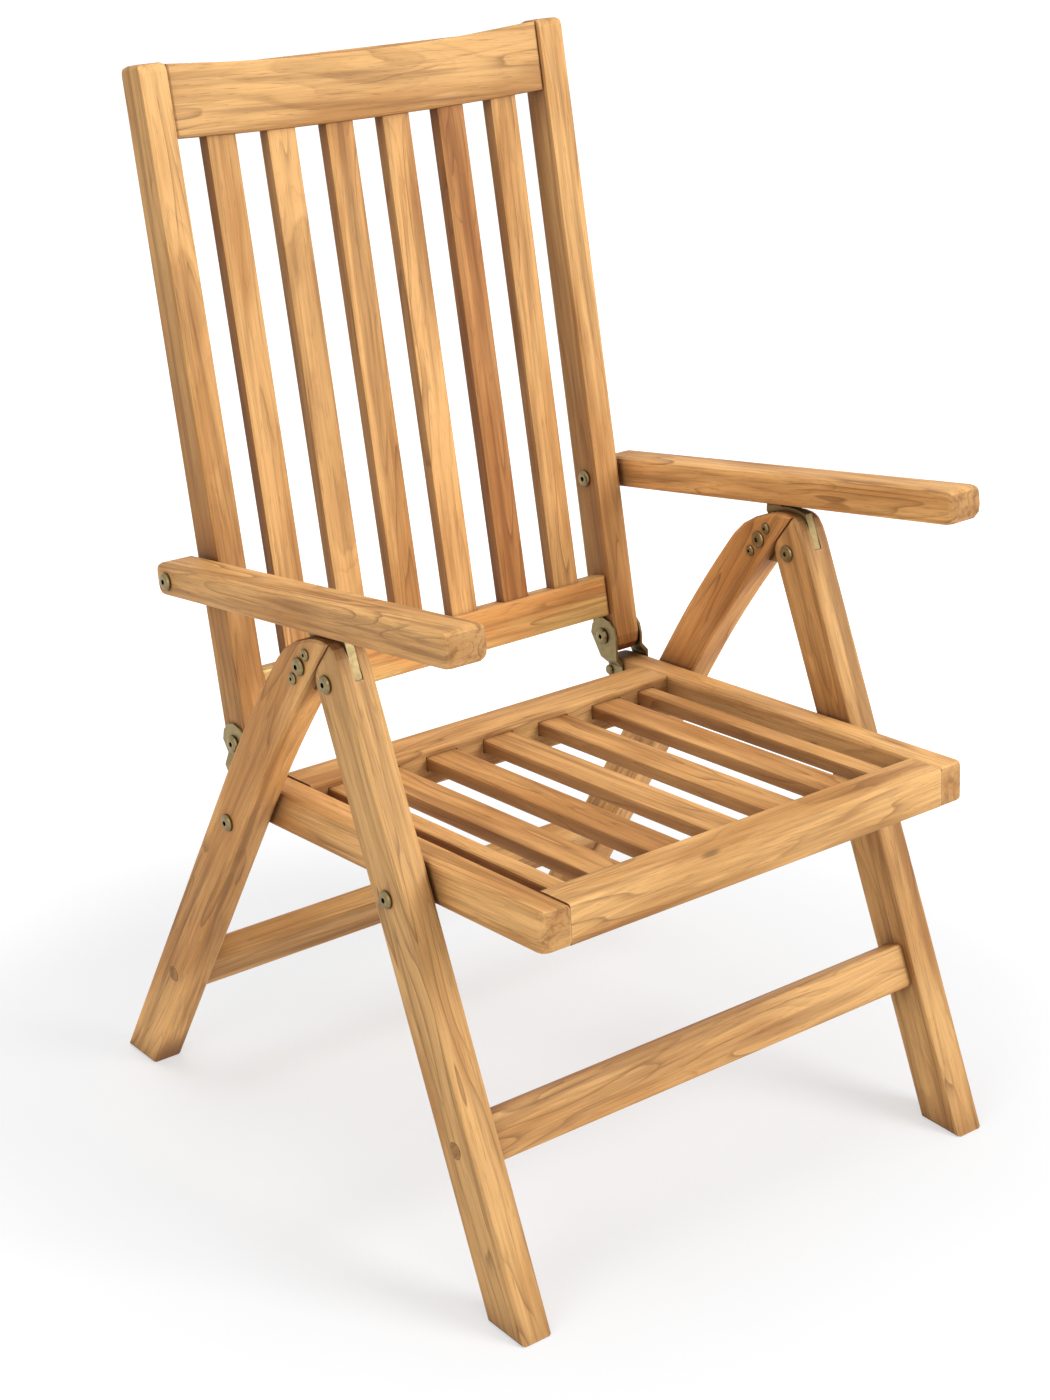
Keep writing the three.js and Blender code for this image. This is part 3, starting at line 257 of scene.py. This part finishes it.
class Tree:
    """A node tree, emptied, whose calls add nodes and return the socket with the result."""

    def __init__(self, tree):
        self.tree = tree
        tree.nodes.clear()

    def node(self, kind, **settings):
        made = self.tree.nodes.new(kind)
        for key, value in settings.items():
            setattr(made, key, value)
        return made

    def put(self, socket, value):
        """Links another node's output to the socket, or sets a plain value on it."""
        if isinstance(value, bpy.types.NodeSocket):
            self.tree.links.new(value, socket)
        else:
            socket.default_value = value

    def math(self, operation, first, second=None, third=None):
        made = self.node("ShaderNodeMath", operation=operation)
        for socket, value in zip(made.inputs, (first, second, third)):
            if value is not None:
                self.put(socket, value)
        return made.outputs[0]

    def times(self, first, second):
        return self.math("MULTIPLY", first, second)

    def vector(self, operation, first, second=None, scale=None):
        """Result of a vector node: a number for lengths and dot products."""
        made = self.node("ShaderNodeVectorMath", operation=operation)
        self.put(made.inputs[0], first)
        if second is not None:
            self.put(made.inputs[1], second)
        if scale is not None:
            self.put(made.inputs["Scale"], scale)
        return made.outputs["Value" if operation in ("LENGTH", "DOT_PRODUCT") else "Vector"]

    def noise(self, place, detail=2.0, roughness=0.5, out="Fac"):
        made = self.node("ShaderNodeTexNoise", noise_dimensions="3D")
        self.put(made.inputs["Vector"], place)
        made.inputs["Scale"].default_value = 1.0
        made.inputs["Detail"].default_value = detail
        made.inputs["Roughness"].default_value = roughness
        return made.outputs[out]

    def span(self, value, low, high, to_low=0.0, to_high=1.0, kind="SMOOTHSTEP"):
        """Maps the range from low to high to another range, with soft ends unless kind is LINEAR."""
        made = self.node("ShaderNodeMapRange", interpolation_type=kind)
        for socket, item in zip(made.inputs, (value, low, high, to_low, to_high)):
            self.put(socket, item)
        return made.outputs[0]

    def mix(self, share, first, second, blend="MIX"):
        """Mixes colours. The node's sockets for them are inputs 6 and 7, and output 2."""
        made = self.node("ShaderNodeMix", data_type="RGBA", blend_type=blend)
        self.put(made.inputs[0], share)
        self.put(made.inputs[6], first)
        self.put(made.inputs[7], second)
        return made.outputs[2]

    def bent_edges(self, reach):
        """1 on flat faces, less where an edge is within reach."""
        rounded = self.node("ShaderNodeBevel", samples=EDGE_SAMPLES)
        rounded.inputs["Radius"].default_value = reach
        true_normal = self.node("ShaderNodeNewGeometry").outputs["True Normal"]
        return self.vector("DOT_PRODUCT", rounded.outputs[0], true_normal)

    def openness(self, reach):
        """1 on open faces, less where others stand within reach."""
        near = self.node("ShaderNodeAmbientOcclusion", samples=EDGE_SAMPLES)
        near.inputs["Distance"].default_value = reach
        return near.outputs["AO"]

    def bump(self, height, strength, depth):
        made = self.node("ShaderNodeBump")
        made.inputs["Strength"].default_value = strength
        made.inputs["Distance"].default_value = depth
        self.put(made.inputs["Height"], height)
        return made.outputs[0]

    def surface(self, shader, output="ShaderNodeOutputMaterial"):
        self.put(self.node(output).inputs["Surface"], shader)


def rgba(colour, factor=1.0):
    return tuple(min(1.0, c * factor) for c in colour) + (1.0,)


def new_material(name):
    material = bpy.data.materials.new(name)
    material.use_nodes = True
    return material, Tree(material.node_tree)


def dark_line(t, phase, power, fade):
    """A line across a phase from 0 to 1, which builds up by the power and fades at the end."""
    return t.times(t.math("POWER", phase, power), t.span(phase, fade, 1.0, 1.0, 0.0))


def grain_group():
    """The grain of a log, shared by all boards: rings round the pith, veins, fibre, pores, knots."""
    group = bpy.data.node_groups.new("teak_grain", "ShaderNodeTree")
    for name in ("Place", "Seed", "Pith"):
        group.interface.new_socket(name, in_out="INPUT", socket_type="NodeSocketVector")
    for name in ("Spacing", "Swirl"):
        group.interface.new_socket(name, in_out="INPUT", socket_type="NodeSocketFloat")
    for name in ("Rings", "Fibre", "Streaks", "Pores", "Cloud", "Knots"):
        group.interface.new_socket(name, in_out="OUTPUT", socket_type="NodeSocketFloat")
    t = Tree(group)
    given = t.node("NodeGroupInput").outputs
    shifted = t.vector("ADD", given["Place"], given["Seed"])

    def scaled(across, along):
        return t.vector("MULTIPLY", shifted, (across, across, along))

    def noise(name, out="Fac"):
        settings = dict(NOISES[name])
        return t.noise(scaled(*settings.pop("scale")), out=out, **settings)

    def patches(name, faintest=0.0):
        return t.span(noise(name), *LEVELS[name], faintest, 1.0)

    def push(name, reach):
        aside = t.vector("SUBTRACT", noise(name, out="Color"), (0.5, 0.5, 0.5))
        return t.vector("SCALE", aside, scale=reach)

    broad = push("broad_warp", t.times(given["Swirl"], BROAD_PUSH))
    fine = push("fine_warp", FINE_PUSH)
    warped = t.vector("ADD", t.vector("ADD", given["Place"], broad), fine)
    from_pith = t.vector("SUBTRACT", warped, given["Pith"])
    radius = t.vector("LENGTH", t.vector("MULTIPLY", from_pith, (1.0, 1.0, 0.0)))
    count = t.math("DIVIDE", radius, given["Spacing"])
    wander = t.node("ShaderNodeTexNoise", noise_dimensions="1D")
    t.put(wander.inputs["W"], t.times(count, WANDER_RATE))
    wander.inputs["Scale"].default_value = 1.0
    count = t.math("ADD", count, t.times(wander.outputs["Fac"], WANDER_REACH))
    each = t.node("ShaderNodeTexWhiteNoise", noise_dimensions="1D")
    t.put(each.inputs["W"], t.math("FLOOR", count))
    strength = t.math("MULTIPLY_ADD", each.outputs["Value"], 1.0 - FAINTEST_RING, FAINTEST_RING)
    rings = t.times(dark_line(t, t.math("FRACT", count), *RING_LINE), strength)
    rings = t.times(rings, patches("ring_patch", FAINTEST_PATCH))

    contours = t.math("FRACT", t.times(noise("vein_flow"), VEIN_LEVELS))
    veins = t.times(dark_line(t, contours, *VEIN_LINE), patches("vein_patch"))
    broad_streaks = t.times(patches("broad_streak"), BROAD_STREAK_SHARE)
    streaks = t.math("MULTIPLY_ADD", patches("fine_streak"), FINE_STREAK_SHARE, broad_streaks)
    streaks = t.math("MAXIMUM", streaks, t.times(veins, VEIN_SHARE))

    # A knot stands in the middle of a cell, where the cell's random colour says so
    cells = t.node("ShaderNodeTexVoronoi", voronoi_dimensions="3D", feature="F1")
    ragged = t.vector("ADD", scaled(*KNOT_SCALE), t.vector("SCALE", fine, scale=KNOT_RAGGED))
    t.put(cells.inputs["Vector"], ragged)
    cells.inputs["Scale"].default_value = 1.0
    spots = t.span(cells.outputs["Distance"], KNOT_CORE, KNOT_RIM, 1.0, 0.0)
    lot = t.node("ShaderNodeSeparateColor")
    t.put(lot.inputs[0], cells.outputs["Color"])
    knots = t.times(spots, t.math("GREATER_THAN", lot.outputs[0], KNOTLESS))

    done = t.node("NodeGroupOutput").inputs
    t.put(done["Rings"], rings)
    t.put(done["Fibre"], noise("fibre"))
    t.put(done["Streaks"], streaks)
    t.put(done["Pores"], patches("pores"))
    t.put(done["Cloud"], noise("cloud"))
    t.put(done["Knots"], knots)
    return group


GRAIN = grain_group()


def grain_turn(run, lean):
    """Euler turn that lays the grain's Z along the piece."""
    if run == "up":
        return (math.radians(lean), 0.0, 0.0)
    if run == "fore":
        return (math.radians(lean - 90.0), 0.0, 0.0)
    return (0.0, math.radians(90.0), 0.0)


def grain_axis(run, lean):
    """Direction of the grain along the piece."""
    angle = math.radians(lean)
    if run == "up":
        return (0.0, -math.sin(angle), math.cos(angle))
    if run == "fore":
        return (0.0, math.cos(angle), math.sin(angle))
    return (1.0, 0.0, 0.0)


def teak(node, run, lean=0.0, tone=1.0, warmth=0.0, figure=1.0, swirl=1.0, side_shade=0.0):
    """Material of one board, cut from a place of its own in the log."""
    dice = random.Random(node)
    low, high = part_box(node)
    material, t = new_material("teak_" + node)
    coordinates = t.node("ShaderNodeTexCoord").outputs
    placed = t.node("ShaderNodeMapping", vector_type="TEXTURE")
    t.put(placed.inputs["Vector"], coordinates["Object"])
    placed.inputs["Location"].default_value = (low + high) / 2
    turn = grain_turn(run, lean)
    tilt = math.radians(dice.uniform(-TILT, TILT))
    placed.inputs["Rotation"].default_value = (turn[0] + tilt, turn[1] + tilt, turn[2])
    grain = t.node("ShaderNodeGroup")
    grain.node_tree = GRAIN
    t.put(grain.inputs["Place"], placed.outputs[0])
    grain.inputs["Seed"].default_value = [dice.uniform(-SEED_REACH, SEED_REACH) for _ in range(3)]
    angle = dice.uniform(0.0, 2.0 * math.pi)
    away = dice.uniform(*PITH_AWAY)
    grain.inputs["Pith"].default_value = (away * math.cos(angle), away * math.sin(angle), 0.0)
    grain.inputs["Spacing"].default_value = dice.uniform(*RING_SPACING)
    grain.inputs["Swirl"].default_value = swirl
    rings, fibre, pores = (grain.outputs[name] for name in ("Rings", "Fibre", "Pores"))

    def tinted(colour):
        return rgba([c * (1.0 + change * warmth) for c, change in zip(colour, WARMING)], tone)

    def marked(colour, mask, share, over):
        return t.mix(t.times(mask, share), colour, over)

    def turned_to(direction):
        return t.math("ABSOLUTE", t.vector("DOT_PRODUCT", coordinates["Normal"], direction))

    dark, pore = tinted(TEAK_DARK), rgba(TEAK_PORE, tone)
    colour = t.mix(t.span(grain.outputs["Cloud"], *CLOUD_LEVELS), tinted(TEAK_LIGHT), tinted(TEAK_MID))
    colour = marked(colour, rings, RING_SHARE * figure, dark)
    colour = marked(colour, grain.outputs["Streaks"], STREAK_SHARE * figure, dark)
    shade = t.vector("SCALE", (1.0, 1.0, 1.0), scale=t.span(fibre, *FIBRE_BRIGHTNESS, kind="LINEAR"))
    colour = t.mix(1.0, colour, shade, blend="MULTIPLY")
    colour = marked(colour, pores, PORE_SHARE, pore)
    colour = marked(colour, grain.outputs["Knots"], KNOT_SHARE, pore)
    colour = marked(colour, t.span(turned_to(grain_axis(run, lean)), *END_COSINES), END_SHARE, dark)
    # Painted shade: faces turned along X are darkened as if less light reached them
    if side_shade:
        colour = t.mix(t.span(turned_to((1.0, 0.0, 0.0)), *SIDE_SHADE_COSINES, 0.0, side_shade), colour, dark)
    # Lighter edges: part wear and part painted highlight where the rounded edges catch light
    lighter_edges = t.times(t.span(t.bent_edges(TEAK_EDGE), *RUB_AND_HIGHLIGHT_BEND), t.span(fibre, *RUB_AND_HIGHLIGHT_FIBRE))
    colour = marked(colour, lighter_edges, RUB_AND_HIGHLIGHT_SHARE, tinted(TEAK_RUB_AND_HIGHLIGHT))
    # Painted shade: the teak is darkened where other surfaces stand close, in corners, gaps and between
    # parts
    colour = marked(colour, t.span(t.openness(TEAK_SHADE_REACH), *PAINTED_SHADE_OPENNESS), PAINTED_SHADE_SHARE, dark)

    height = t.math("SUBTRACT", t.times(fibre, FIBRE_RELIEF), t.times(pores, PORE_RELIEF))
    height = t.math("SUBTRACT", height, t.times(rings, RING_RELIEF))
    rough = t.math("ADD", t.span(fibre, *FIBRE_ROUGHNESS), t.times(rings, RING_ROUGHNESS))
    shader = t.node("ShaderNodeBsdfPrincipled")
    t.put(shader.inputs["Base Color"], colour)
    t.put(shader.inputs["Roughness"], rough)
    t.put(shader.inputs["Normal"], t.bump(height, TEAK_BUMP, TEAK_RELIEF))
    shader.inputs["Specular IOR Level"].default_value = TEAK_SPECULAR
    t.surface(shader.outputs[0])
    return material


def brass(node, aged, dull):
    """Antique brass: clean metal that shows through a brown skin, with turning marks, wear, and darkening
    where other surfaces stand close.
    """
    dice = random.Random(node)
    material, t = new_material("brass_" + node)
    place = t.node("ShaderNodeTexCoord").outputs["Object"]
    seed = [dice.uniform(-BRASS_SEED_REACH, BRASS_SEED_REACH) for _ in range(3)]
    shifted = t.vector("ADD", place, seed)
    blotch = t.noise(t.vector("SCALE", shifted, scale=BLOTCH_SCALE), **BLOTCH)
    turning = t.noise(t.vector("MULTIPLY", shifted, TURNING_SCALE))
    skin = t.span(t.math("ADD", blotch, t.times(turning, TURNING_SHARE)), *SKIN)
    colour = t.mix(t.times(skin, aged), rgba(BRASS_CLEAN), rgba(BRASS_AGED))
    lighter_edges = t.span(t.bent_edges(BRASS_EDGE), *BRASS_WORN_BEND)
    colour = t.mix(t.times(lighter_edges, BRASS_WORN_SHARE), colour, rgba(BRASS_WORN))
    # Brass is darkened where other surfaces stand within a few millimetres
    colour = t.mix(t.span(t.openness(BRASS_CORNER), *CLOSE_SURFACE_DARKENING), colour, rgba(BRASS_CLOSE_DARK))
    shader = t.node("ShaderNodeBsdfPrincipled")
    t.put(shader.inputs["Base Color"], colour)
    shader.inputs["Metallic"].default_value = 1.0
    t.put(shader.inputs["Roughness"], t.span(blotch, *DULLING_LEVELS, dull, dull + DULLING))
    t.put(shader.inputs["Normal"], t.bump(turning, BRASS_BUMP, BRASS_RELIEF))
    t.surface(shader.outputs[0])
    return material


def family(node):
    """A piece's name without its side or number."""
    start, _, end = node.rpartition("_")
    return start if end in ("left", "right") or end.isdigit() else node


def dress(node, piece):
    """Gives a piece its material and shading, and eases the edges of sheet metal."""
    kind = family(node)
    mesh = piece.data
    count = len(mesh.polygons)
    mesh.materials.clear()
    if kind in METAL:
        mesh.materials.append(brass(node, *METAL[kind]))
    else:
        mesh.materials.append(teak(node, **(WOOD.get(node) or WOOD[kind])))
    mesh.polygons.foreach_set("use_smooth", [True] * count)
    mesh.polygons.foreach_set("material_index", [0] * count)
    mesh.set_sharp_from_angle(angle=math.radians(METAL_SHARP if kind in METAL else WOOD_SHARP))
    if kind in SHEET_METAL:
        bevel = piece.modifiers.new("eased", "BEVEL")
        bevel.width = EASING
        bevel.segments = EASING_STEPS
        bevel.limit_method = "ANGLE"
        bevel.angle_limit = math.radians(EASED_FROM)
    weighted = piece.modifiers.new("weighted", "WEIGHTED_NORMAL")
    weighted.keep_sharp = True
    weighted.weight = FACE_WEIGHT


def shows_background(t):
    """1 for rays that show the background: from the camera, in a reflection or through glass."""
    ray = t.node("ShaderNodeLightPath").outputs
    mirrored = t.math("MAXIMUM", ray["Is Glossy Ray"], ray["Is Transmission Ray"])
    return t.math("MAXIMUM", ray["Is Camera Ray"], mirrored)


def pick(t, share, first, second):
    made = t.node("ShaderNodeMixShader")
    for socket, value in zip(made.inputs, (share, first, second)):
        t.put(socket, value)
    return made.outputs[0]


def coloured(t, kind, colour):
    made = t.node(kind)
    made.inputs["Color"].default_value = rgba(colour)
    return made


def add_floor():
    """A pale floor that takes the chair's soft shadow."""
    half = FLOOR_SPAN / 2
    mesh = bpy.data.meshes.new("floor")
    corners = [(-half, -half, 0), (half, -half, 0), (half, half, 0), (-half, half, 0)]
    mesh.from_pydata(corners, [], [(0, 1, 2, 3)])
    floor = bpy.data.objects.new("floor", mesh)
    floor.location.z = -FLOOR_DROP
    bpy.context.scene.collection.objects.link(floor)
    paper, t = new_material("floor_paper")
    away = t.vector("LENGTH", t.node("ShaderNodeTexCoord").outputs["Object"])
    glow = t.node("ShaderNodeEmission")
    t.put(glow.inputs["Strength"], t.span(away, GLOW_START, GLOW_END, GLOW_NEAR, GLOW_FAR))
    shown = t.node("ShaderNodeAddShader")
    t.put(shown.inputs[0], coloured(t, "ShaderNodeBsdfDiffuse", FLOOR_SHOWN).outputs[0])
    t.put(shown.inputs[1], glow.outputs[0])
    bounce = coloured(t, "ShaderNodeBsdfDiffuse", FLOOR_BOUNCE)
    t.surface(pick(t, shows_background(t), bounce.outputs[0], shown.outputs[0]))
    mesh.materials.append(paper)


def light_world():
    """Even light from all round, seen as white."""
    world = bpy.data.worlds.new("studio")
    bpy.context.scene.world = world
    world.use_nodes = True
    t = Tree(world.node_tree)
    light = coloured(t, "ShaderNodeBackground", WORLD_GREY)
    light.inputs["Strength"].default_value = WORLD_LIGHT
    seen = coloured(t, "ShaderNodeBackground", WHITE)
    shown = pick(t, shows_background(t), light.outputs[0], seen.outputs[0])
    t.surface(shown, output="ShaderNodeOutputWorld")


def add_object(name, data, place, facing):
    """Puts a lamp or camera at a place, looking along a direction."""
    made = bpy.data.objects.new(name, data)
    bpy.context.scene.collection.objects.link(made)
    made.location = place
    made.rotation_mode = "QUATERNION"
    made.rotation_quaternion = facing.to_track_quat("-Z", "Y")
    return made


def add_softbox(name, place, target, watts):
    lamp = bpy.data.lights.new(name, "AREA")
    lamp.shape = "RECTANGLE"
    lamp.size = lamp.size_y = SOFTBOX_SIDE
    lamp.energy = watts
    add_object(name, lamp, place, Vector(target) - Vector(place))


def add_camera():
    azimuth, elevation = math.radians(AZIMUTH), math.radians(ELEVATION)
    level = math.cos(elevation)
    away = Vector((math.sin(azimuth) * level, -math.cos(azimuth) * level, math.sin(elevation)))
    lens = bpy.data.cameras.new("camera")
    lens.sensor_width = SENSOR
    lens.lens = LENS
    lens.clip_start, lens.clip_end = CLIP
    place = Vector(TARGET) + away * DISTANCE
    bpy.context.scene.camera = add_object("camera", lens, place, -away)


for node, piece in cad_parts.items():
    dress(node, piece)
add_floor()
light_world()
for name, settings in SOFTBOXES.items():
    add_softbox(name, *settings)
add_camera()
bpy.context.scene.view_settings.view_transform = "Standard"
